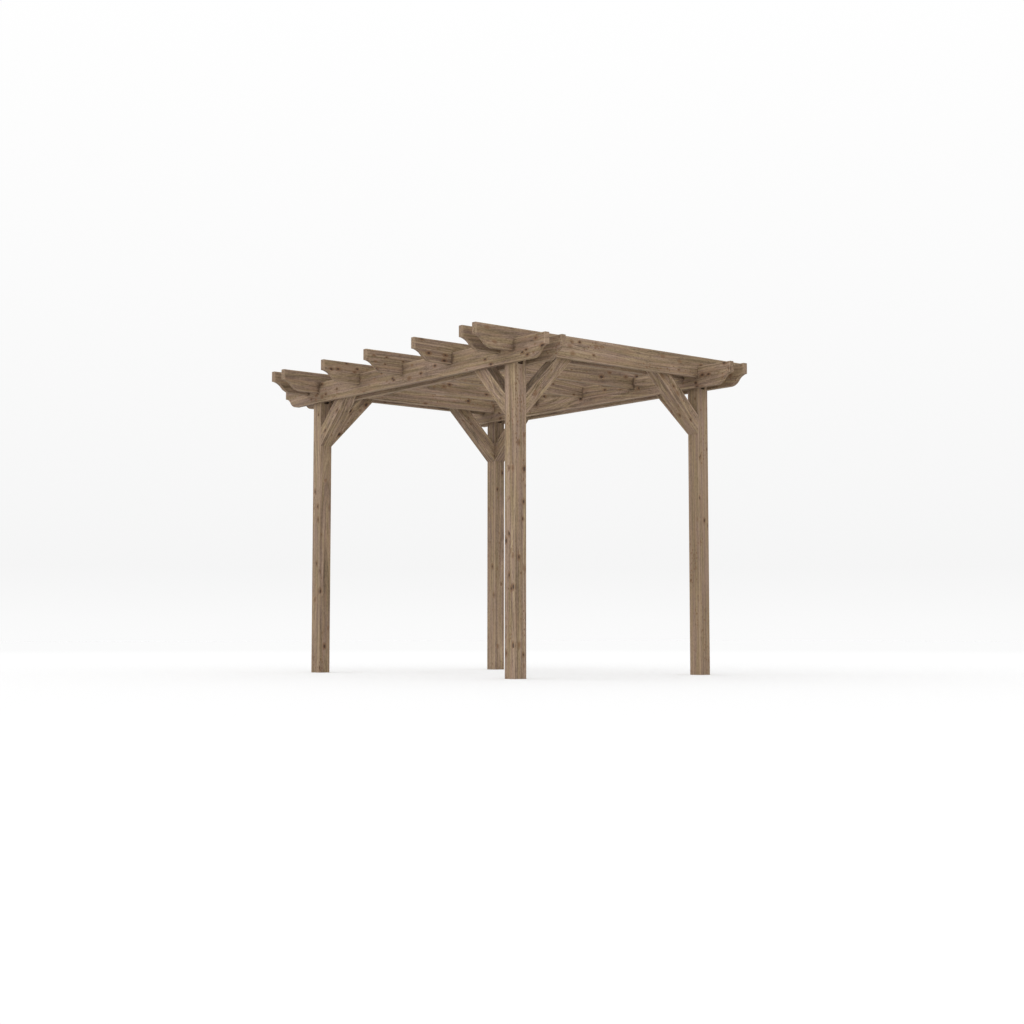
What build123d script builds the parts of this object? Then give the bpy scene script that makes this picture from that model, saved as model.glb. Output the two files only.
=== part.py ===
"""Timber pergola: four posts, paired beams, seven rafters and eight knee braces.

Millimetres, +Z up. X runs along the beams, Y along the rafters, and the origin is on
the ground at the middle of the plan. Front is -Y, left is -X.
"""

import os
from math import sqrt

from build123d import *

# Posts
post_side = 100.0
post_spacing_x = 2324.0  # centre to centre, along the beams
post_spacing_y = 1698.0  # centre to centre, along the rafters
post_top_setback = 14.0  # the post stops this far below the top of the rafters

# Beams, in pairs with the posts between them
beam_thickness = 38.0
beam_depth = 150.0
beam_underside = 2042.0  # headroom below the beams
beam_overhang = 350.0  # past the outer face of the end posts

# Rafters, a pair at each end with the posts between them and three single ones
rafter_thickness = 38.0
rafter_depth = 150.0
rafter_overhang = 350.0  # past the outer face of the posts
right_rafter_shift = 22.0  # the single rafter nearest the right posts sits off even spacing

# Halving joints where a rafter crosses a beam
beam_notch_depth = 39.0
rafter_notch_depth = 40.0
notch_play = 0.5  # each side of the timber that drops in

# Ogee cut on the end of each beam and rafter
beam_nose_depth = 75.0  # straight part of the end, measured from the top
rafter_nose_depth = 75.0
beam_ogee_run = 142.0
rafter_ogee_run = 153.0

# Knee braces, at 45 degrees, packed between the paired timbers
brace_depth = 95.0
brace_drop = 325.0  # lowest point of the brace, below the underside of the beams
beam_brace_clearance = 8.0  # a brace between beams stops this far below the rafters
rafter_brace_setback = 16.0  # a brace between rafters stops this far below their top

arris = 2.0  # eased corners

# Places that follow from the sizes above
post_x = post_spacing_x / 2
post_y = post_spacing_y / 2
beam_top = beam_underside + beam_depth
notch_seat = beam_top - beam_notch_depth
rafter_underside = notch_seat - rafter_notch_depth
rafter_top = rafter_underside + rafter_depth
beam_step = (post_side + beam_thickness) / 2  # from a post's centre to a beam's
rafter_step = (post_side + rafter_thickness) / 2
beam_half_length = post_x + post_side / 2 + beam_overhang
rafter_half_length = post_y + post_side / 2 + rafter_overhang
brace_foot = beam_underside - brace_drop
brace_thickness = post_side

beams = {
    "beam_front_outer": -post_y - beam_step,
    "beam_front_inner": -post_y + beam_step,
    "beam_back_inner": post_y - beam_step,
    "beam_back_outer": post_y + beam_step,
}

rafter_gap = (post_x - rafter_step) / 2
rafters = {
    "rafter_left_outer": -post_x - rafter_step,
    "rafter_left_inner": -post_x + rafter_step,
    "rafter_middle_left": -rafter_gap,
    "rafter_middle_centre": 0.0,
    "rafter_middle_right": rafter_gap + right_rafter_shift,
    "rafter_right_inner": post_x - rafter_step,
    "rafter_right_outer": post_x + rafter_step,
}

corners = {
    "front_left": (-1, -1),
    "front_right": (1, -1),
    "back_left": (-1, 1),
    "back_right": (1, 1),
}


def make_post(name, x, y):
    """A square post standing on the ground, with eased corners up its height."""
    with BuildPart() as post:
        with BuildSketch():
            with Locations((x, y)):
                Rectangle(post_side, post_side)
        extrude(amount=rafter_top - post_top_setback)
        chamfer(post.edges().filter_by(Axis.Z), length=arris)
        chamfer(post.faces().sort_by(Axis.Z)[-1].edges(), length=arris)
    post.part.label = name
    export_step(post.part, f"parts/{name}.step")


def make_ogee_timber(name, plane, half_length, thickness, underside, depth, nose, run, notches):
    """A timber on edge, centred on its plane, with an ogee cut on both ends.

    Each notch is (centre, width, floor, ceiling), along the timber and upwards.
    """
    top = underside + depth
    nose_foot = top - nose
    bend = (half_length - run / 2, (underside + nose_foot) / 2)
    with BuildPart() as timber:
        with BuildSketch(plane):
            with BuildLine():
                for side in (-1, 1):
                    turn = (side * bend[0], bend[1])
                    foot = (side * (half_length - run), underside)
                    tip = (side * half_length, nose_foot)
                    TangentArc(foot, turn, tangent=(side, 0))
                    TangentArc(tip, turn, tangent=(-side, 0))
                    Line(tip, (side * half_length, top))
                Line((-half_length, top), (half_length, top))
                Line((run - half_length, underside), (half_length - run, underside))
            make_face()
        extrude(amount=thickness / 2, both=True)
        broad_faces = timber.faces().filter_by(Axis(plane.origin, plane.z_dir))
        chamfer(broad_faces.edges(), length=arris)
        with BuildSketch(plane):
            for centre, width, floor, ceiling in notches:
                with Locations((centre, (floor + ceiling) / 2)):
                    Rectangle(width, ceiling - floor)
        extrude(amount=thickness, both=True, mode=Mode.SUBTRACT)
    timber.part.label = name
    export_step(timber.part, f"parts/{name}.step")


def make_brace(name, plane, start, direction, top):
    """A knee brace in its plane, from the post's face up between a pair of timbers."""
    head = brace_foot + brace_depth * sqrt(2)
    outline = [
        (start, brace_foot),
        (start, head),
        (start + direction * (top - head), top),
        (start + direction * (top - brace_foot), top),
    ]
    with BuildPart() as brace:
        with BuildSketch(plane):
            with BuildLine():
                Polyline(outline, close=True)
            make_face()
        extrude(amount=brace_thickness / 2, both=True)
        slopes = brace.faces().filter_by(lambda face: abs(abs(face.normal_at().Z) - sqrt(0.5)) < 0.01)
        across = Axis(plane.origin, plane.z_dir)
        long_edges = [edge for edge in slopes.edges() if abs(edge.tangent_at(0).dot(across.direction)) < 0.5]
        chamfer(long_edges, length=arris)
    brace.part.label = name
    export_step(brace.part, f"parts/{name}.step")


os.makedirs("parts", exist_ok=True)

for corner, (side_x, side_y) in corners.items():
    make_post(f"post_{corner}", side_x * post_x, side_y * post_y)

beam_notches = [
    (x, rafter_thickness + 2 * notch_play, notch_seat, beam_top + beam_depth) for x in rafters.values()
]
for name, y in beams.items():
    make_ogee_timber(
        name,
        Plane.XZ.offset(-y),
        beam_half_length,
        beam_thickness,
        beam_underside,
        beam_depth,
        beam_nose_depth,
        beam_ogee_run,
        beam_notches,
    )

rafter_notches = [
    (y, beam_thickness + 2 * notch_play, rafter_underside - rafter_depth, notch_seat) for y in beams.values()
]
for name, x in rafters.items():
    make_ogee_timber(
        name,
        Plane.YZ.offset(x),
        rafter_half_length,
        rafter_thickness,
        rafter_underside,
        rafter_depth,
        rafter_nose_depth,
        rafter_ogee_run,
        rafter_notches,
    )

for corner, (side_x, side_y) in corners.items():
    make_brace(
        f"brace_beam_{corner}",
        Plane.XZ.offset(-side_y * post_y),
        side_x * (post_x - post_side / 2),
        -side_x,
        rafter_underside - beam_brace_clearance,
    )
    make_brace(
        f"brace_rafter_{corner}",
        Plane.YZ.offset(side_x * post_x),
        side_y * (post_y - post_side / 2),
        -side_y,
        rafter_top - rafter_brace_setback,
    )
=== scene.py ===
"""Weathered timber pergola: the look of every post, beam, rafter and brace.

Metres, +Z up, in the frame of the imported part. X runs along the beams, Y along the rafters.
Front is -Y, left is -X.
"""

from math import pi, radians, sqrt

import bmesh
import bpy
from mathutils import Euler, Matrix, Vector, noise


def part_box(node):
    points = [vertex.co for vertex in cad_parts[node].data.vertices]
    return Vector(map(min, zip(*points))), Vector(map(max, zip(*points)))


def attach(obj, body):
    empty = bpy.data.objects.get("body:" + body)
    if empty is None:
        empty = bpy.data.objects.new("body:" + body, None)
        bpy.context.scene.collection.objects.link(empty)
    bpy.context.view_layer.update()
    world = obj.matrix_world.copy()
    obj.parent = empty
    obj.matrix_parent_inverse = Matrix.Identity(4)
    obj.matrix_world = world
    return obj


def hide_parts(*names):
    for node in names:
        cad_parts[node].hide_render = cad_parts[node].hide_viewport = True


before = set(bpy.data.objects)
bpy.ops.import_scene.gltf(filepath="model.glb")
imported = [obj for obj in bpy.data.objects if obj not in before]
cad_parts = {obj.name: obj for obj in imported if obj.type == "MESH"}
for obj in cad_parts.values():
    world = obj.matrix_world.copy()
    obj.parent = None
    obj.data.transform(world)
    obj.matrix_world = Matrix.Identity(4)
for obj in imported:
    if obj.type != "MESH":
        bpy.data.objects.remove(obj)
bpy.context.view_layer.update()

# Sizes that the timbers share, in metres
arris_radius = 0.002
arris_steps = 3
ogee_steps = 12
ogee_fill = 0.9995  # the two arcs of an ogee stop just short of each other, and are then merged
merge_distance = 0.0002
nose_depth = 0.075  # straight part of a carved end, from the top
beam_ogee_run = 0.142
rafter_ogee_run = 0.153
beam_notch_depth = 0.039
rafter_notch_depth = 0.040
notch_play = 0.0005
brace_depth = 0.095
pocket_width = 0.042  # small pocket in each post, its inside painted dark as shade
pocket_height = 0.030
pocket_depth = 0.018
pocket_foot = 2.040  # its lower edge, above the ground
pocket_corner = 0.007
pocket_corner_steps = 3
saw_wander = 0.0003  # how far a sawn face strays from flat
saw_waves = 5.0  # and how many waves it makes in a metre
cut_spacing = 0.09  # distance between the lines that let a face stray
brace_cut_share = 0.98  # part of a brace's length that has these lines
touching = 1e-5  # two places nearer than this are the same
sharp_angle = radians(40)  # a fold steeper than this isn't smoothed
quarter_turn = pi / 2

# Tone of each timber's wood, and how strongly its figure shows. The lower tones, on the beams and rafters and
# some braces, are partly painted shade for timbers within the frame.
looks = {
    "post_back_left": (0.465, 1.1),
    "post_back_right": (0.475, 0.8),
    "post_front_left": (0.485, 1.0),
    "post_front_right": (0.50, 1.15),
    "beam_back_inner": (0.435, 1.1),
    "beam_back_outer": (0.45, 1.0),
    "beam_front_inner": (0.43, 1.0),
    "beam_front_outer": (0.43, 1.0),
    "rafter_left_inner": (0.42, 1.0),
    "rafter_left_outer": (0.45, 1.0),
    "rafter_middle_centre": (0.46, 1.1),
    "rafter_middle_left": (0.43, 1.0),
    "rafter_middle_right": (0.44, 1.1),
    "rafter_right_inner": (0.44, 1.0),
    "rafter_right_outer": (0.47, 1.1),
    "brace_beam_back_left": (0.43, 1.4),
    "brace_beam_back_right": (0.51, 1.3),
    "brace_beam_front_left": (0.50, 1.4),
    "brace_beam_front_right": (0.50, 1.35),
    "brace_rafter_back_left": (0.45, 1.6),
    "brace_rafter_back_right": (0.49, 1.3),
    "brace_rafter_front_left": (0.49, 1.4),
    "brace_rafter_front_right": (0.53, 1.4),
}
pocket_shade_look = (-0.6, 1.0)  # painted shade inside the pocket, so dark that no grain shows

# How far the grain leans to and fro, and how quickly the figure changes along it
post_grain = (0.03, 1.0)
long_grain = (0.12, 1.0)
brace_grain = (0.10, 3.0)

# Where the patterns start for each kind of timber. Each further timber starts one further on.
post_seed = 1.0
post_saw_seed = 11.0
beam_seed = 121.0
rafter_seed = 31.0
brace_seed = 41.0

# The tree's heart, from the middle of the timber across its width and its depth, taken in turn
hearts = (
    (0.03, 0.09),
    (-0.05, -0.12),
    (0.015, 0.03),
    (0.07, -0.05),
    (-0.02, 0.14),
    (-0.08, 0.02),
    (0.01, -0.07),
)
ring_spacing = 0.0056  # from one growth ring to the next
knot_share = 0.38  # part of the spots for a knot that hold one, before knots gather or thin out
no_end = 10.0  # a half length so great that no end shows its paler wear and painted highlight
end_paleness = 0.30  # how pale the sawn ends are
odd_ends = {"beam_front_outer": 0.95, "rafter_right_outer": 0.0}  # how pale, where they differ
relief_strength = 0.6  # how strongly the grain stands up
relief_height = 0.0012
dry_gloss = 0.22  # little light is mirrored by dry wood

# Colours of the wood
deep_brown = (0.089, 0.0605, 0.0385)
middle_brown = (0.259, 0.1815, 0.1185)
bleached_brown = (0.460, 0.341, 0.228)
mauve_tint = (1.0, 0.985, 1.09)
olive_tint = (0.985, 1.01, 0.90)
blush_brown = (0.275, 0.172, 0.106)
halo_brown = (0.190, 0.118, 0.068)
rust_brown = (0.150, 0.070, 0.030)
knot_brown = (0.048, 0.027, 0.017)
pin_brown = (0.150, 0.072, 0.034)
split_brown = (0.030, 0.020, 0.014)
# Paler wear on corners and ends, which along the long corners is also a painted highlight
worn_and_highlight_brown = (0.400, 0.295, 0.205)
sawn_brown = (0.335, 0.234, 0.158)
end_split_brown = (0.040, 0.027, 0.018)
# Water stain and painted contact shade beside crossing timbers
stain_and_shade_brown = (0.070, 0.042, 0.026)
rain_tint = (0.62, 0.66, 0.70)

# Floor, light and camera
floor_reach = 60.0
floor_pale = (0.737, 0.737, 0.737)  # as it looks
floor_far = (0.705, 0.705, 0.705)  # as it looks a long way off
floor_glow = (0.66, 0.66, 0.66)  # what it throws back up
floor_fade = (11.0, 22.0)  # how far off the near look starts to go, and the far one is complete
floor_roughness = 0.9
sky_strength = 1.37
sky_lean = (-0.15, -0.15, 0.0)  # which way the light is stronger
backdrop_height = 0.38  # upward part of the line of sight at which the backdrop turns white
backdrop_foot = 0.963  # how pale the backdrop is at the horizon
backdrop_steps = (  # and on the way up, as parts of that height
    (0.026, 0.957),
    (0.059, 0.940),
    (0.11, 0.917),
    (0.224, 0.931),
    (0.39, 0.948),
    (0.58, 0.966),
)
camera_spot = (9.084, -7.359, 0.278)
camera_lens = 55.769
camera_rise = 4.452  # degrees up from level
camera_heading = 50.714  # degrees to the left of looking along +Y

post_names = sorted(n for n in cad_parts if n.startswith("post_"))
beam_names = sorted(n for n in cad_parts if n.startswith("beam_"))
rafter_names = sorted(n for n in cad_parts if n.startswith("rafter_"))
brace_names = sorted(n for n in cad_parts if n.startswith("brace_"))


# ---------------------------------------------------------------- node helpers


def place(tree, kind, inputs=None, **settings):
    """A node of that kind in the tree. Inputs are set to a value or linked from a socket."""
    node = tree.nodes.new(kind)
    for name, value in settings.items():
        setattr(node, name, value)
    for name, value in (inputs or {}).items():
        if isinstance(value, bpy.types.NodeSocket):
            tree.links.new(value, node.inputs[name])
        else:
            node.inputs[name].default_value = value
    return node


def maths(tree, operation, first, second=0.0, third=0.0):
    """The result of one sum on values or sockets."""
    return place(tree, "ShaderNodeMath", {0: first, 1: second, 2: third}, operation=operation).outputs[0]


def vector_maths(tree, operation, first, second):
    """The result of one sum on vectors."""
    return place(tree, "ShaderNodeVectorMath", {0: first, 1: second}, operation=operation).outputs[0]


def remap(tree, value, low, high, to_low=0.0, to_high=1.0):
    """Value from low to high, smoothly, to another range."""
    settings = {"Value": value, "From Min": low, "From Max": high, "To Min": to_low, "To Max": to_high}
    return place(tree, "ShaderNodeMapRange", settings, interpolation_type="SMOOTHSTEP").outputs[0]


def blend_colour(tree, amount, first, second, blend="MIX"):
    """First colour turning into the second by the amount."""
    node = place(tree, "ShaderNodeMix", {"Factor": amount}, data_type="RGBA", blend_type=blend)
    for socket, value in ((node.inputs[6], first), (node.inputs[7], second)):
        if isinstance(value, bpy.types.NodeSocket):
            tree.links.new(value, socket)
        else:
            socket.default_value = (*value, 1)
    return node.outputs[2]


def cloud(tree, vector, stretch, detail=2.0, roughness=0.5):
    """Noise stretched by a factor for each axis, about 0 to 1."""
    scaled = vector_maths(tree, "MULTIPLY", vector, stretch)
    settings = {"Vector": scaled, "Scale": 1.0, "Detail": detail, "Roughness": roughness}
    return place(tree, "ShaderNodeTexNoise", settings).outputs["Fac"]


def group_shell(name, inputs, outputs):
    """An empty node group with named sockets, and its input and output nodes."""
    tree = bpy.data.node_groups.new(name, "ShaderNodeTree")
    for socket, kind in inputs:
        tree.interface.new_socket(socket, in_out="INPUT", socket_type=kind)
    for socket, kind in outputs:
        tree.interface.new_socket(socket, in_out="OUTPUT", socket_type=kind)
    return tree, tree.nodes.new("NodeGroupInput"), tree.nodes.new("NodeGroupOutput")


# ---------------------------------------------------------------- wood effects


def seeded(tree, position, seed):
    """The position carried off by the seed, so that no two timbers share a pattern."""
    offset = {"X": maths(tree, "MULTIPLY", seed, 7.3), "Y": maths(tree, "MULTIPLY", seed, 3.1)}
    shift = place(tree, "ShaderNodeCombineXYZ", {**offset, "Z": maths(tree, "MULTIPLY", seed, 5.7)})
    return vector_maths(tree, "ADD", position, shift.outputs[0])


def make_knot_group():
    """Dark knots with rusty rings, thinly scattered and here and there gathered, and patches of pin knots."""
    tree, entry, out = group_shell(
        "knots",
        [("Position", "NodeSocketVector"), ("Share", "NodeSocketFloat")],
        [
            ("Knot", "NodeSocketFloat"),
            ("Halo", "NodeSocketFloat"),
            ("Rust", "NodeSocketFloat"),
            ("Pins", "NodeSocketFloat"),
        ],
    )
    position = entry.outputs["Position"]
    cells = vector_maths(tree, "MULTIPLY", position, (14.0, 23.0, 23.0))
    voronoi = place(tree, "ShaderNodeTexVoronoi", {"Vector": cells, "Scale": 1.0, "Randomness": 1.0})
    ragged = cloud(tree, position, (90.0, 170.0, 170.0), 2.0)
    distance = maths(tree, "MULTIPLY_ADD", ragged, 0.09, voronoi.outputs["Distance"])
    chance = place(tree, "ShaderNodeSeparateColor", {"Color": voronoi.outputs["Color"]})
    gathered = cloud(tree, position, (1.7, 6.0, 6.0), 1.0)
    share = maths(tree, "MULTIPLY", entry.outputs["Share"], remap(tree, gathered, 0.38, 0.62, 0.35, 1.7))
    chosen = maths(tree, "LESS_THAN", chance.outputs["Red"], share)
    size = maths(tree, "POWER", chance.outputs["Green"], 2.0)
    radius = maths(tree, "MULTIPLY_ADD", size, 0.20, 0.12)
    ratio = maths(tree, "DIVIDE", distance, radius)
    knot = maths(tree, "MULTIPLY", remap(tree, ratio, 1.05, 0.70), chosen)
    halo = maths(tree, "MULTIPLY", remap(tree, ratio, 2.4, 0.9), chosen)
    rust = maths(tree, "MULTIPLY", remap(tree, ratio, 1.9, 1.0), chosen)
    tree.links.new(knot, out.inputs["Knot"])
    tree.links.new(halo, out.inputs["Halo"])
    tree.links.new(rust, out.inputs["Rust"])

    pin_cells = vector_maths(tree, "MULTIPLY", position, (40.0, 60.0, 60.0))
    pins = place(tree, "ShaderNodeTexVoronoi", {"Vector": pin_cells, "Scale": 1.0, "Randomness": 1.0})
    pin_chance = place(tree, "ShaderNodeSeparateColor", {"Color": pins.outputs["Color"]}).outputs["Red"]
    pin_patch = remap(tree, cloud(tree, position, (2.6, 9.0, 9.0), 1.0), 0.58, 0.63)
    pin = maths(tree, "MULTIPLY", maths(tree, "LESS_THAN", pin_chance, 0.75), pin_patch)
    pin = maths(tree, "MULTIPLY", remap(tree, pins.outputs["Distance"], 0.42, 0.16), pin)
    tree.links.new(pin, out.inputs["Pins"])
    return tree


def make_arris_wear_and_highlight_group():
    """A mask that rises towards the long corners and the ends of a timber of that half size: paler wear, and
    along the long corners a painted highlight.
    """
    tree, entry, out = group_shell(
        "arris_wear_and_highlight",
        [
            ("Position", "NodeSocketVector"),
            ("Half Length", "NodeSocketFloat"),
            ("Half Width", "NodeSocketFloat"),
            ("Half Depth", "NodeSocketFloat"),
        ],
        [("Mask", "NodeSocketFloat")],
    )
    parts = place(tree, "ShaderNodeSeparateXYZ", {"Vector": entry.outputs["Position"]})
    ragged = cloud(tree, entry.outputs["Position"], (9.0, 60.0, 60.0), 3.0, 0.6)
    reach = maths(tree, "MULTIPLY_ADD", ragged, 0.022, -0.003)
    mask = None
    for axis, half in (("Y", "Half Width"), ("Z", "Half Depth")):
        inset = maths(tree, "SUBTRACT", entry.outputs[half], maths(tree, "ABSOLUTE", parts.outputs[axis]))
        near = remap(tree, maths(tree, "DIVIDE", inset, reach), 1.0, 0.2)
        mask = near if mask is None else maths(tree, "MULTIPLY", mask, near)
    run = maths(tree, "SUBTRACT", entry.outputs["Half Length"], maths(tree, "ABSOLUTE", parts.outputs["X"]))
    end = remap(tree, maths(tree, "DIVIDE", run, reach), 2.0, 0.4)
    tree.links.new(maths(tree, "MAXIMUM", mask, end), out.inputs["Mask"])
    return tree


def make_joint_stain_and_shade_group():
    """Dark water stain and painted contact shade beside a timber that crosses: a thin line, and here and
    there a blotch.
    """
    tree, entry, out = group_shell(
        "joint_stain_and_shade",
        [
            ("Position", "NodeSocketVector"),
            ("Seed", "NodeSocketFloat"),
            ("Centre", "NodeSocketFloat"),
            ("Half", "NodeSocketFloat"),
            ("Level", "NodeSocketFloat"),
            ("Side", "NodeSocketFloat"),
        ],
        [("Mask", "NodeSocketFloat")],
    )
    position = entry.outputs["Position"]
    moved = seeded(tree, position, entry.outputs["Seed"])
    parts = place(tree, "ShaderNodeSeparateXYZ", {"Vector": position})
    from_centre = maths(tree, "SUBTRACT", parts.outputs["X"], entry.outputs["Centre"])
    gap = maths(tree, "SUBTRACT", maths(tree, "ABSOLUTE", from_centre), entry.outputs["Half"])
    gap = maths(tree, "ABSOLUTE", gap)
    heavy = remap(tree, cloud(tree, moved, (3.2, 7.0, 7.0), 1.0), 0.48, 0.64)
    ragged = cloud(tree, moved, (30.0, 45.0, 45.0), 3.0, 0.6)
    reach = maths(tree, "MULTIPLY_ADD", heavy, 0.034, 0.006)
    reach = maths(tree, "MULTIPLY", reach, remap(tree, ragged, 0.30, 0.70, 0.2, 1.6))
    near = remap(tree, maths(tree, "DIVIDE", gap, reach), 1.0, 0.0)
    above = maths(tree, "SUBTRACT", parts.outputs["Z"], entry.outputs["Level"])
    beyond = remap(tree, maths(tree, "MULTIPLY", above, entry.outputs["Side"]), -0.018, 0.006)
    strength = maths(tree, "MULTIPLY_ADD", heavy, 0.50, 0.20)
    mask = maths(tree, "MULTIPLY", maths(tree, "MULTIPLY", near, beyond), strength)
    tree.links.new(mask, out.inputs["Mask"])
    return tree


def make_softwood_group(knots, arris_wear_and_highlight):
    """Grey-brown softwood after years outdoors, with X along the grain, in metres."""
    tree, entry, out = group_shell(
        "weathered_softwood",
        [
            ("Position", "NodeSocketVector"),
            ("Normal", "NodeSocketVector"),
            ("Up", "NodeSocketFloat"),
            ("Heart", "NodeSocketVector"),
            ("Seed", "NodeSocketFloat"),
            ("Tone", "NodeSocketFloat"),
            ("Figure", "NodeSocketFloat"),
            ("Waver", "NodeSocketFloat"),
            ("Knot Share", "NodeSocketFloat"),
            ("Quickness", "NodeSocketFloat"),
            ("Pale End", "NodeSocketFloat"),
            ("Stain And Shade", "NodeSocketFloat"),
            ("Half Length", "NodeSocketFloat"),
            ("Half Width", "NodeSocketFloat"),
            ("Half Depth", "NodeSocketFloat"),
        ],
        [("Color", "NodeSocketColor"), ("Roughness", "NodeSocketFloat"), ("Height", "NodeSocketFloat")],
    )
    position = entry.outputs["Position"]
    seed = entry.outputs["Seed"]
    moved = seeded(tree, position, seed)

    knot_node = place(tree, "ShaderNodeGroup", {}, node_tree=knots)
    tree.links.new(moved, knot_node.inputs["Position"])
    tree.links.new(entry.outputs["Knot Share"], knot_node.inputs["Share"])
    knot, halo, rust, pins = (knot_node.outputs[part] for part in ("Knot", "Halo", "Rust", "Pins"))

    # How quickly the figure changes along the grain
    pace = place(tree, "ShaderNodeCombineXYZ", {"X": entry.outputs["Quickness"], "Y": 1.0, "Z": 1.0})
    moved = vector_maths(tree, "MULTIPLY", moved, pace.outputs[0])
    lifted = vector_maths(tree, "ADD", moved, (3.7, 9.1, 5.3))

    # The grain leans a little one way and the other along the timber
    lean = maths(tree, "SUBTRACT", cloud(tree, moved, (0.9, 2.5, 2.5), 1.0), 0.5)
    lean = maths(tree, "MULTIPLY", lean, entry.outputs["Waver"])
    leaning = place(tree, "ShaderNodeCombineXYZ", {"Y": lean, "Z": lean}).outputs[0]
    moved = vector_maths(tree, "ADD", moved, leaning)

    # Growth rings round a heart that wanders along the timber, so that they cut a face in long flames
    wander_y = maths(tree, "MULTIPLY_ADD", cloud(tree, moved, (0.55, 2.0, 2.0), 1.0), 0.12, -0.06)
    wander_z = maths(tree, "MULTIPLY_ADD", cloud(tree, lifted, (0.55, 2.0, 2.0), 1.0), 0.12, -0.06)
    wander = place(tree, "ShaderNodeCombineXYZ", {"Y": wander_y, "Z": wander_z}).outputs[0]
    bent = vector_maths(tree, "ADD", vector_maths(tree, "ADD", position, wander), leaning)
    from_heart = vector_maths(tree, "SUBTRACT", bent, entry.outputs["Heart"])
    across_grain = vector_maths(tree, "MULTIPLY", from_heart, (0.0, 1.0, 1.0))
    radius = place(tree, "ShaderNodeVectorMath", {0: across_grain}, operation="LENGTH").outputs["Value"]
    shake = maths(tree, "MULTIPLY", cloud(tree, moved, (1.5, 14.0, 14.0), 1.5), 0.012)
    radius = maths(tree, "ADD", maths(tree, "ADD", radius, shake), maths(tree, "MULTIPLY", halo, 0.009))
    ring = maths(tree, "FRACT", maths(tree, "DIVIDE", radius, ring_spacing))
    late_wood = maths(tree, "MULTIPLY", remap(tree, ring, 0.30, 0.88), remap(tree, ring, 1.0, 0.92))
    seasons = place(tree, "ShaderNodeCombineXYZ", {"X": radius, "Y": seed}).outputs[0]
    growth = cloud(tree, seasons, (95.0, 1.0, 1.0), 2.0, 0.6)

    # Fibres, streaks, flecks and broad patches along the grain
    fibre = cloud(tree, moved, (10.0, 560.0, 560.0), 2.0)
    streak = cloud(tree, moved, (0.75, 80.0, 80.0), 3.0, 0.5)
    patch = cloud(tree, moved, (1.1, 10.0, 10.0), 2.0)
    speck = cloud(tree, lifted, (60.0, 115.0, 115.0), 1.0)
    hue = cloud(tree, lifted, (2.6, 34.0, 34.0), 3.0, 0.65)
    blush = cloud(tree, moved, (4.2, 52.0, 52.0), 2.0, 0.6)
    fleck = remap(tree, cloud(tree, lifted, (19.0, 190.0, 190.0), 1.0), 0.64, 0.72)
    split_line = maths(tree, "SUBTRACT", cloud(tree, lifted, (0.8, 34.0, 34.0), 1.0), 0.5)
    split_line = remap(tree, maths(tree, "ABSOLUTE", split_line), 0.008, 0.002)
    split_spot = remap(tree, cloud(tree, lifted, (2.1, 12.0, 12.0), 1.0), 0.57, 0.65)
    split = maths(tree, "MULTIPLY", split_line, split_spot)

    grain = maths(tree, "MULTIPLY", late_wood, -0.11)
    for part, weight in ((streak, 0.95), (growth, 0.95), (fibre, 0.35), (patch, 0.45), (speck, 0.42)):
        grain = maths(tree, "MULTIPLY_ADD", maths(tree, "SUBTRACT", part, 0.5), weight, grain)
    grain = maths(tree, "MULTIPLY_ADD", fleck, -0.22, grain)
    tone = maths(tree, "MULTIPLY_ADD", grain, entry.outputs["Figure"], entry.outputs["Tone"])
    ramp = place(tree, "ShaderNodeValToRGB", {"Fac": tone})
    stops = ramp.color_ramp.elements
    stops[0].position = 0.0
    stops[0].color = (*deep_brown, 1)
    stops[1].position = 1.0
    stops[1].color = (*bleached_brown, 1)
    stops.new(0.5).color = (*middle_brown, 1)
    colour = ramp.outputs["Color"]
    mauve = blend_colour(tree, 1.0, colour, mauve_tint, "MULTIPLY")
    olive = blend_colour(tree, 1.0, colour, olive_tint, "MULTIPLY")
    colour = blend_colour(tree, remap(tree, hue, 0.36, 0.64), olive, mauve)
    colour = blend_colour(tree, remap(tree, blush, 0.48, 0.72, 0.0, 0.45), colour, blush_brown)
    colour = blend_colour(tree, maths(tree, "MULTIPLY", halo, 0.30), colour, halo_brown)
    colour = blend_colour(tree, maths(tree, "MULTIPLY", rust, 0.50), colour, rust_brown)
    colour = blend_colour(tree, maths(tree, "MULTIPLY", knot, 0.92), colour, knot_brown)
    colour = blend_colour(tree, maths(tree, "MULTIPLY", pins, 0.75), colour, pin_brown)
    colour = blend_colour(tree, maths(tree, "MULTIPLY", split, 0.70), colour, split_brown)

    # Corners and ends are worn paler, and the paler long corners also carry a painted highlight
    wear_and_highlight_node = place(tree, "ShaderNodeGroup", {}, node_tree=arris_wear_and_highlight)
    tree.links.new(position, wear_and_highlight_node.inputs["Position"])
    for half in ("Half Length", "Half Width", "Half Depth"):
        tree.links.new(entry.outputs[half], wear_and_highlight_node.inputs[half])
    facing = place(tree, "ShaderNodeSeparateXYZ", {"Vector": entry.outputs["Normal"]}).outputs["X"]
    end_grain = remap(tree, maths(tree, "ABSOLUTE", facing), 0.80, 0.97)
    wear_and_highlight = maths(tree, "MULTIPLY", wear_and_highlight_node.outputs["Mask"], maths(tree, "SUBTRACT", 1.0, end_grain))
    colour = blend_colour(tree, maths(tree, "MULTIPLY", wear_and_highlight, 0.45), colour, worn_and_highlight_brown)

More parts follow.
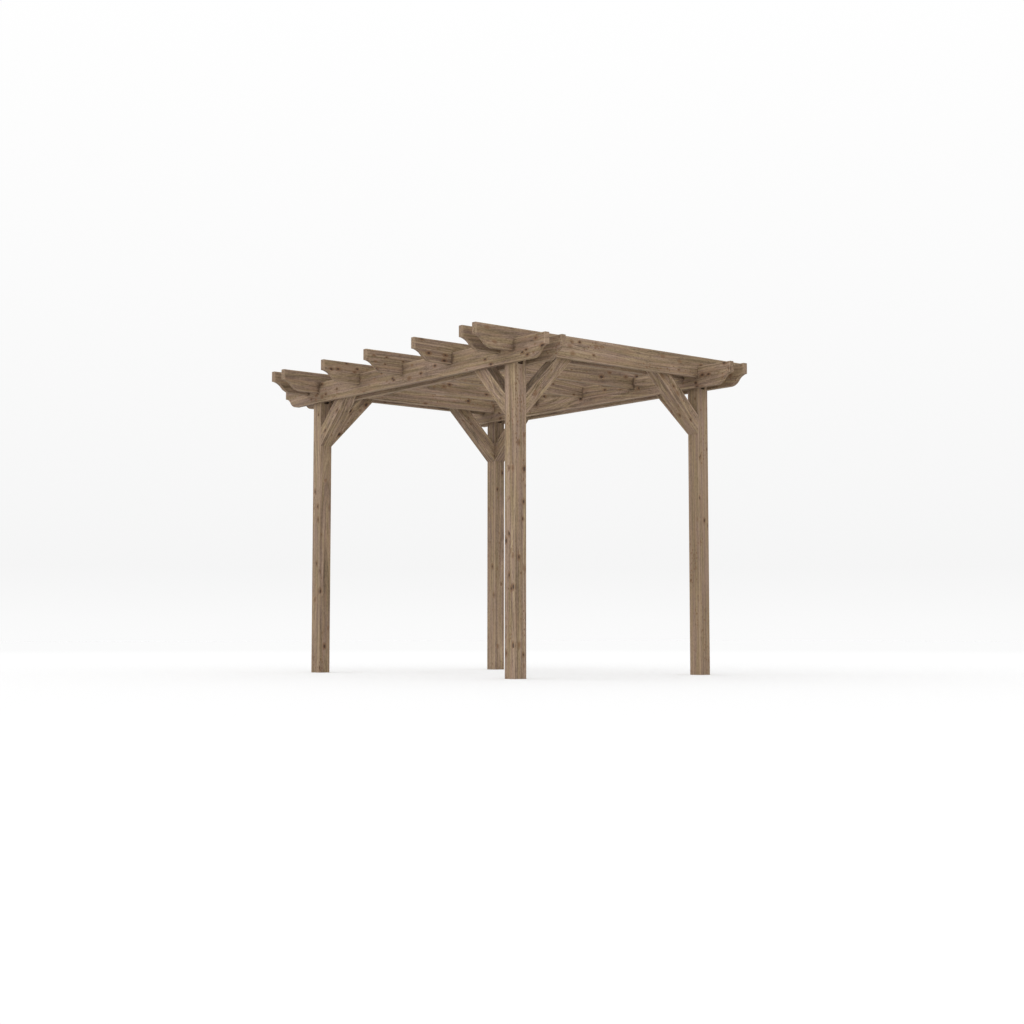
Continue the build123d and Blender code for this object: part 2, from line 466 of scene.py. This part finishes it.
    # Sawn ends show the rings, and open in short splits that run out from the heart
    turn = place(tree, "ShaderNodeSeparateXYZ", {"Vector": from_heart})
    angle = maths(tree, "ARCTAN2", turn.outputs["Y"], turn.outputs["Z"])
    spoke = place(tree, "ShaderNodeCombineXYZ", {"X": maths(tree, "MULTIPLY", angle, 6.0), "Y": seed})
    star = maths(tree, "SUBTRACT", cloud(tree, spoke.outputs[0], (1.0, 1.0, 1.0), 3.0, 0.7), 0.5)
    star = remap(tree, maths(tree, "ABSOLUTE", star), 0.016, 0.003)
    star = maths(tree, "MULTIPLY", star, end_grain)
    pale = maths(tree, "MULTIPLY", end_grain, entry.outputs["Pale End"])
    colour = blend_colour(tree, pale, colour, sawn_brown)
    colour = blend_colour(tree, maths(tree, "MULTIPLY", star, 0.35), colour, end_split_brown)
    # Water stain and painted contact shade beside crossing timbers
    colour = blend_colour(tree, entry.outputs["Stain And Shade"], colour, stain_and_shade_brown)

    # Rain has greyed and darkened what faces the sky
    soaked = maths(tree, "MULTIPLY_ADD", maths(tree, "SUBTRACT", patch, 0.5), 0.5, entry.outputs["Up"])
    wet = remap(tree, soaked, 0.55, 0.95)
    greyed = blend_colour(tree, 1.0, colour, rain_tint, "MULTIPLY")
    colour = blend_colour(tree, maths(tree, "MULTIPLY", wet, 0.85), colour, greyed)

    # Hard late wood, fibres and knots stand up, and splits and flecks sink
    height = maths(tree, "MULTIPLY", late_wood, 0.35)
    raised = ((fibre, 0.45), (streak, 0.5), (knot, 0.4))
    sunken = ((split, -1.6), (star, -1.6), (fleck, -0.3))
    for part, weight in raised + sunken:
        height = maths(tree, "MULTIPLY_ADD", part, weight, height)
    roughness = maths(tree, "MULTIPLY_ADD", fibre, 0.16, 0.72)
    roughness = maths(tree, "MULTIPLY_ADD", knot, -0.16, roughness)
    tree.links.new(colour, out.inputs["Color"])
    tree.links.new(roughness, out.inputs["Roughness"])
    tree.links.new(height, out.inputs["Height"])
    return tree


joint_stain_and_shade = make_joint_stain_and_shade_group()
weathered_softwood = make_softwood_group(knots=make_knot_group(), arris_wear_and_highlight=make_arris_wear_and_highlight_group())


def make_timber_material(
    name, centre, turn, half, heart, seed, grain, look, crossings=(), level=0.0, side=1.0, finish="softwood"
):
    """Weathered softwood for one timber. Turn takes the frame's axes to the timber's own.

    Half is the timber's half length, width and depth. Crossings are the place and half width
    along the timber of each other timber that crosses it, and their water stain and painted contact shade
    show above the level, or below it where side is -1.
    """
    material = bpy.data.materials.new(f"{name}_{finish}")
    material.use_nodes = True
    tree = material.node_tree
    shader = tree.nodes["Principled BSDF"]
    coordinates = tree.nodes.new("ShaderNodeTexCoord")
    spot = coordinates.outputs["Object"]
    normal = coordinates.outputs["Normal"]
    to_middle = -(Euler(turn).to_matrix() @ centre)
    own_spot = place(tree, "ShaderNodeMapping", {"Vector": spot, "Location": to_middle, "Rotation": turn})
    own_normal = place(tree, "ShaderNodeMapping", {"Vector": normal, "Rotation": turn})
    wood = place(tree, "ShaderNodeGroup", {}, node_tree=weathered_softwood)
    tree.links.new(own_spot.outputs[0], wood.inputs["Position"])
    tree.links.new(own_normal.outputs[0], wood.inputs["Normal"])
    tree.links.new(place(tree, "ShaderNodeSeparateXYZ", {"Vector": normal}).outputs["Z"], wood.inputs["Up"])
    wood.inputs["Heart"].default_value = (0.0, *heart)
    wood.inputs["Seed"].default_value = seed
    wood.inputs["Tone"].default_value, wood.inputs["Figure"].default_value = look
    wood.inputs["Waver"].default_value, wood.inputs["Quickness"].default_value = grain
    wood.inputs["Knot Share"].default_value = knot_share
    wood.inputs["Pale End"].default_value = odd_ends.get(name, end_paleness)
    for side_name, size in zip(("Half Length", "Half Width", "Half Depth"), half):
        wood.inputs[side_name].default_value = size
    stain_and_shade = None
    for crossing_centre, crossing_half in crossings:
        joint = place(tree, "ShaderNodeGroup", {}, node_tree=joint_stain_and_shade)
        tree.links.new(own_spot.outputs[0], joint.inputs["Position"])
        joint.inputs["Seed"].default_value = seed
        joint.inputs["Centre"].default_value = crossing_centre
        joint.inputs["Half"].default_value = crossing_half
        joint.inputs["Level"].default_value = level
        joint.inputs["Side"].default_value = side
        mask = joint.outputs["Mask"]
        stain_and_shade = mask if stain_and_shade is None else maths(tree, "MAXIMUM", stain_and_shade, mask)
    if stain_and_shade is not None:
        tree.links.new(stain_and_shade, wood.inputs["Stain And Shade"])
    relief = {"Strength": relief_strength, "Distance": relief_height, "Height": wood.outputs["Height"]}
    bump = place(tree, "ShaderNodeBump", relief)
    tree.links.new(wood.outputs["Color"], shader.inputs["Base Color"])
    tree.links.new(wood.outputs["Roughness"], shader.inputs["Roughness"])
    tree.links.new(bump.outputs["Normal"], shader.inputs["Normal"])
    shader.inputs["Specular IOR Level"].default_value = dry_gloss
    return material


# ---------------------------------------------------------------- timber shapes


def across(edge, axis):
    """True for an edge that runs along that axis."""
    span = edge.verts[0].co - edge.verts[1].co
    aside = max(abs(span[other]) for other in range(3) if other != axis)
    return abs(span[axis]) > touching > aside


def board(outline, along, low, high):
    """A flat shape from a few corners, given along the timber and up, pushed through its thickness."""
    thickness = 1 - along
    bm = bmesh.new()
    corners = []
    for run, height in outline:
        corner = Vector((0, 0, height))
        corner[along] = run
        corner[thickness] = low
        corners.append(bm.verts.new(corner))
    side = bm.faces.new(corners)
    pushed = bmesh.ops.extrude_face_region(bm, geom=[side], use_keep_orig=True)["geom"]
    step = Vector((0, 0, 0))
    step[thickness] = high - low
    bmesh.ops.translate(bm, verts=[item for item in pushed if isinstance(item, bmesh.types.BMVert)], vec=step)
    bmesh.ops.recalc_face_normals(bm, faces=bm.faces)
    return bm


def round_off(bm, edges, offset, segments):
    """The chosen edges rounded."""
    bmesh.ops.bevel(
        bm,
        geom=edges,
        offset=offset,
        offset_type="OFFSET",
        affect="EDGES",
        segments=segments,
        profile=0.5,
        material=-1,
        clamp_overlap=False,
    )


def cut(bm, faces, point, direction):
    """A cut line across the chosen faces, or across the whole piece."""
    if faces is None:
        geometry = bm.verts[:] + bm.edges[:] + bm.faces[:]
    else:
        geometry = list({part for face in faces for part in (*face.verts, *face.edges, face)})
    bmesh.ops.bisect_plane(bm, geom=geometry, plane_co=point, plane_no=direction, dist=1e-6)


def faces_between(bm, axis, centre, half_width):
    """The faces whose middles lie within half a width of the centre, on that axis."""
    reach = half_width - touching
    return [f for f in bm.faces if abs(f.calc_center_median()[axis] - centre) < reach]


def cut_notch(bm, along, centre, half_width, seat, opens_up):
    """A square notch through the whole thickness, from the top or from the underside."""
    direction = Vector((1, 0, 0)) if along == 0 else Vector((0, 1, 0))
    for wall in (centre - half_width, centre + half_width):
        cut(bm, None, direction * wall, direction)
    cut(bm, faces_between(bm, along, centre, half_width), Vector((0, 0, seat)), Vector((0, 0, 1)))
    inside = faces_between(bm, along, centre, half_width)
    waste = [f for f in inside if (f.calc_center_median().z > seat) == opens_up]
    bmesh.ops.delete(bm, geom=waste, context="FACES")
    open_edges = [e for e in bm.edges if e.is_boundary]
    seat_edges = [e for e in open_edges if across(e, along) and abs(e.verts[0].co.z - seat) < touching]
    bmesh.ops.bridge_loops(bm, edges=seat_edges)
    bmesh.ops.holes_fill(bm, edges=[e for e in bm.edges if e.is_boundary], sides=0)


def cut_across(bm, middle, direction, half_length):
    """Lines round the timber at even steps, so that its faces can stray a little."""
    steps = int(2 * half_length / cut_spacing)
    for step in range(1, steps):
        cut(bm, None, middle + direction * (2 * half_length * step / steps - half_length), direction)


def let_faces_stray(bm, seed, levels):
    """Sawn faces sink and recover by a fraction of a millimetre. What lies on a level stays on it."""
    bm.normal_update()
    shifts = []
    for vert in bm.verts:
        sample = vert.co * saw_waves + Vector((seed * 3.7, seed * 1.9, seed * 2.3))
        shifts.append(-vert.normal * saw_wander * (0.5 + 0.5 * noise.noise(sample)))
    for vert, shift in zip(bm.verts, shifts):
        if min(abs(vert.co.z - level) for level in levels) < touching:
            shift.z = 0.0
        vert.co += shift


def finish_piece(bm, name, materials):
    """The shape as a named piece that stands for its node."""
    bmesh.ops.recalc_face_normals(bm, faces=bm.faces)
    mesh = bpy.data.meshes.new(f"{name}_timber")
    bm.to_mesh(mesh)
    bm.free()
    piece = bpy.data.objects.new(f"{name}_timber", mesh)
    bpy.context.scene.collection.objects.link(piece)
    for material in materials:
        mesh.materials.append(material)
    mesh.shade_smooth()
    mesh.set_sharp_from_angle(angle=sharp_angle)
    weighted = piece.modifiers.new("flat_faces", "WEIGHTED_NORMAL")
    weighted.keep_sharp = True
    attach(piece, "root")
    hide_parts(name)


def middle_and_half(node, axis):
    """Where a node is centred on an axis, and half its width there."""
    low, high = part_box(node)
    return (low[axis] + high[axis]) / 2, (high[axis] - low[axis]) / 2


def make_posts():
    """Square posts from the ground up, with a small pocket below the beams on one side, painted dark inside
    as shade.
    """
    for index, name in enumerate(post_names):
        low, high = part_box(name)
        centre, half = (low + high) / 2, (high - low) / 2
        bm = bmesh.new()
        block = Matrix.Translation(centre) @ Matrix.Diagonal((*(high - low), 1))
        bmesh.ops.create_cube(bm, size=1.0, matrix=block)
        crown = [e for e in bm.edges if all(abs(v.co.z - high.z) < touching for v in e.verts)]
        round_off(bm, [e for e in bm.edges if across(e, 2)] + crown, arris_radius, arris_steps)
        cut_pocket(bm, centre, high.x)
        cut_across(bm, centre, Vector((0, 0, 1)), half.z)
        let_faces_stray(bm, post_saw_seed + index, (low.z, high.z))
        turn = (0, quarter_turn, 0)
        size = (no_end, half.x, half.y)
        make_up = (name, centre, turn, size, hearts[index], post_seed + index, post_grain)
        softwood = make_timber_material(*make_up, looks[name])
        # The pocket's inside takes a second material, near-black wood painted as the shade in the recess
        pocket = make_timber_material(*make_up, pocket_shade_look, finish="pocket")
        finish_piece(bm, name, [softwood, pocket])


def right_side(bm):
    """The faces of a post's right side."""
    return [f for f in bm.faces if f.normal.x > 0.99]


def right_strip(bm, centre):
    """The middle faces of that side, once the pocket's upright lines are cut."""
    return [f for f in right_side(bm) if abs(f.calc_center_median().y - centre.y) < touching]


def cut_pocket(bm, centre, face_x):
    """The small pocket in a post's right side, just below the underside of the beams. Its inside faces take
    the painted-shade material.
    """
    bm.normal_update()
    for side in (-1, 1):
        cut(bm, right_side(bm), Vector((0, centre.y + side * pocket_width / 2, 0)), Vector((0, 1, 0)))
    pocket_head = pocket_foot + pocket_height
    for height in (pocket_foot, pocket_head):
        cut(bm, right_strip(bm, centre), Vector((0, 0, height)), Vector((0, 0, 1)))
    mouth = [f for f in right_strip(bm, centre) if pocket_foot < f.calc_center_median().z < pocket_head]
    pushed = bmesh.ops.extrude_face_region(bm, geom=mouth)["geom"]
    bmesh.ops.delete(bm, geom=mouth, context="FACES")
    floor_verts = [item for item in pushed if isinstance(item, bmesh.types.BMVert)]
    bmesh.ops.translate(bm, verts=floor_verts, vec=(-pocket_depth, 0, 0))
    corners = [e for e in bm.edges if across(e, 0) and abs(max(v.co.x for v in e.verts) - face_x) < touching]
    back_x = face_x - pocket_depth
    corners = [e for e in corners if abs(min(v.co.x for v in e.verts) - back_x) < touching]
    round_off(bm, corners, pocket_corner, pocket_corner_steps)
    pocket_middle = Vector(((back_x + face_x - arris_radius) / 2, centre.y, (pocket_foot + pocket_head) / 2))
    pocket_half = Vector(((pocket_depth - arris_radius) / 2, pocket_width / 2, pocket_height / 2))
    # The pocket's inside faces take the second material, painted shade
    for face in bm.faces:
        from_middle = face.calc_center_median() - pocket_middle
        if all(abs(from_middle[axis]) < pocket_half[axis] + touching for axis in range(3)):
            face.material_index = 1


def make_carved_timbers(names, along, ogee_run, notches, seat_depth, opens_up, first_seed):
    """Beams or rafters on edge: an ogee on both ends, eased corners, and notches where they cross."""
    thickness = 1 - along
    for index, name in enumerate(names):
        low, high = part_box(name)
        centre, half = (low + high) / 2, (high - low) / 2
        tip = high.z - nose_depth
        rise = tip - low.z
        reach = (ogee_run**2 + rise**2) / (4 * ogee_run)  # from each bend to the ends of its arc
        belly, hollow = half[along] - ogee_run + reach, half[along] - reach
        outline = [
            (-belly, low.z),
            (belly, low.z),
            (hollow, tip),
            (half[along], tip),
            (half[along], high.z),
            (-half[along], high.z),
            (-half[along], tip),
            (-hollow, tip),
        ]
        bm = board(outline, along, low[thickness], high[thickness])
        bends = []
        for edge in bm.edges:
            run = abs(edge.verts[0].co[along])
            if across(edge, thickness) and min(abs(run - belly), abs(run - hollow)) < touching:
                bends.append(edge)
        round_off(bm, bends, reach * ogee_fill, ogee_steps)
        bmesh.ops.remove_doubles(bm, verts=bm.verts, dist=merge_distance)
        rims = [e for e in bm.edges if abs(e.verts[0].co[thickness] - e.verts[1].co[thickness]) < touching]
        round_off(bm, rims, arris_radius, arris_steps)
        seat = high.z - seat_depth if opens_up else low.z + seat_depth
        for notch_centre, notch_half in notches:
            cut_notch(bm, along, notch_centre, notch_half + notch_play, seat, opens_up)
        direction = Vector((1, 0, 0)) if along == 0 else Vector((0, 1, 0))
        cut_across(bm, centre, direction, half[along])
        let_faces_stray(bm, first_seed + index, (low.z, high.z))
        material = make_timber_material(
            name,
            centre,
            turn=(0, 0, -along * quarter_turn),
            half=(half[along], half[thickness], half.z),
            heart=hearts[(index + 2) % len(hearts)],
            seed=first_seed + index,
            grain=long_grain,
            look=looks[name],
            crossings=[(notch_centre - centre[along], notch_half) for notch_centre, notch_half in notches],
            level=seat - centre.z + (-rafter_notch_depth if opens_up else beam_notch_depth),
            side=1.0 if opens_up else -1.0,
        )
        finish_piece(bm, name, [material])


def make_braces():
    """Knee braces: square stock at 45 degrees, cut plumb at the post and level at the head."""
    for index, name in enumerate(brace_names):
        low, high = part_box(name)
        centre, half = (low + high) / 2, (high - low) / 2
        along = 0 if name.startswith("brace_beam_") else 1
        thickness = 1 - along
        corner = name.split("_", 2)[2]
        post_middle, post_half = middle_and_half(f"post_{corner}", along)
        side = 1 if post_middle < 0 else -1
        start = post_middle + side * post_half
        foot, head, top = low.z, low.z + brace_depth * sqrt(2), high.z
        outline = [
            (start, foot),
            (start + side * (top - foot), top),
            (start + side * (top - head), top),
            (start, head),
        ]
        bm = board(outline, along, low[thickness], high[thickness])
        slopes = []
        for edge in bm.edges:
            span = edge.verts[0].co - edge.verts[1].co
            if abs(span.z) > touching and abs(span[along]) > touching:
                slopes.append(edge)
        round_off(bm, slopes, arris_radius, arris_steps)
        direction = Vector((side, 0, 1)) if along == 0 else Vector((0, side, 1))
        half_length = (top - foot) / sqrt(2)
        cut_across(bm, centre, direction.normalized(), half_length * brace_cut_share)
        let_faces_stray(bm, brace_seed + index, (top,))
        middle = centre.copy()  # on the brace's own middle line, which misses the middle of its box
        middle[along] -= side * (head - foot) / 2
        material = make_timber_material(
            name,
            middle,
            turn=(0, side * pi / 4, 0) if along == 0 else (-side * pi / 4, 0, -quarter_turn),
            half=(no_end, half[thickness], brace_depth / 2),
            heart=hearts[(index + 4) % len(hearts)],
            seed=brace_seed + index,
            grain=brace_grain,
            look=looks[name],
        )
        finish_piece(bm, name, [material])


make_posts()
rafter_crossings = [middle_and_half(n, 0) for n in rafter_names]
beam_crossings = [middle_and_half(n, 1) for n in beam_names]
make_carved_timbers(
    beam_names,
    along=0,
    ogee_run=beam_ogee_run,
    notches=rafter_crossings,
    seat_depth=beam_notch_depth,
    opens_up=True,
    first_seed=beam_seed,
)
make_carved_timbers(
    rafter_names,
    along=1,
    ogee_run=rafter_ogee_run,
    notches=beam_crossings,
    seat_depth=rafter_notch_depth,
    opens_up=False,
    first_seed=rafter_seed,
)
make_braces()


# ---------------------------------------------------------------- floor, light and camera


def make_floor():
    """A plain pale floor that runs out of sight."""
    bm = bmesh.new()
    bmesh.ops.create_grid(bm, x_segments=1, y_segments=1, size=floor_reach)
    mesh = bpy.data.meshes.new("floor")
    bm.to_mesh(mesh)
    bm.free()
    floor = bpy.data.objects.new("floor", mesh)
    bpy.context.scene.collection.objects.link(floor)
    material = bpy.data.materials.new("pale_floor")
    material.use_nodes = True
    tree = material.node_tree
    shader = tree.nodes["Principled BSDF"]
    seen = tree.nodes.new("ShaderNodeLightPath").outputs["Is Camera Ray"]
    ground = tree.nodes.new("ShaderNodeTexCoord").outputs["Object"]
    away = place(tree, "ShaderNodeVectorMath", {0: ground}, operation="LENGTH").outputs["Value"]
    seen_colour = blend_colour(tree, remap(tree, away, *floor_fade), floor_pale, floor_far)
    colour = blend_colour(tree, seen, floor_glow, seen_colour)
    tree.links.new(colour, shader.inputs["Base Color"])
    shader.inputs["Roughness"].default_value = floor_roughness
    shader.inputs["Specular IOR Level"].default_value = 0.0
    mesh.materials.append(material)


def make_light():
    """White surroundings that shine a little more from the front left, and a pale backdrop."""
    world = bpy.data.worlds.new("studio")
    bpy.context.scene.world = world
    world.use_nodes = True
    tree = world.node_tree
    shine = tree.nodes["Background"]
    direction = tree.nodes.new("ShaderNodeTexCoord").outputs["Generated"]
    lean = place(tree, "ShaderNodeVectorMath", {0: direction, 1: sky_lean}, operation="DOT_PRODUCT")
    strength = maths(tree, "MULTIPLY_ADD", lean.outputs["Value"], sky_strength, sky_strength)
    shine.inputs["Color"].default_value = (1, 1, 1, 1)
    tree.links.new(strength, shine.inputs["Strength"])
    height = place(tree, "ShaderNodeSeparateXYZ", {"Vector": direction}).outputs["Z"]
    fade = place(tree, "ShaderNodeValToRGB", {"Fac": maths(tree, "DIVIDE", height, backdrop_height)})
    stops = fade.color_ramp.elements
    stops[0].color = (backdrop_foot, backdrop_foot, backdrop_foot, 1)
    stops[1].color = (1.0, 1.0, 1.0, 1)
    for part, pale in backdrop_steps:
        stops.new(part).color = (pale, pale, pale, 1)
    backdrop = place(tree, "ShaderNodeBackground", {"Color": fade.outputs["Color"], "Strength": 1.0})
    mixed = tree.nodes.new("ShaderNodeMixShader")
    tree.links.new(tree.nodes.new("ShaderNodeLightPath").outputs["Is Camera Ray"], mixed.inputs[0])
    tree.links.new(shine.outputs[0], mixed.inputs[1])
    tree.links.new(backdrop.outputs[0], mixed.inputs[2])
    tree.links.new(mixed.outputs[0], tree.nodes["World Output"].inputs["Surface"])
    bpy.context.scene.view_settings.view_transform = "Standard"


def make_camera():
    """Low, off the front right corner, looking slightly up."""
    camera_data = bpy.data.cameras.new("camera")
    camera_data.sensor_width = 36.0
    camera_data.lens = camera_lens
    camera = bpy.data.objects.new("camera", camera_data)
    camera.location = camera_spot
    camera.rotation_euler = Euler((radians(90 + camera_rise), 0, radians(camera_heading)))
    bpy.context.scene.collection.objects.link(camera)
    bpy.context.scene.camera = camera


make_floor()
make_light()
make_camera()
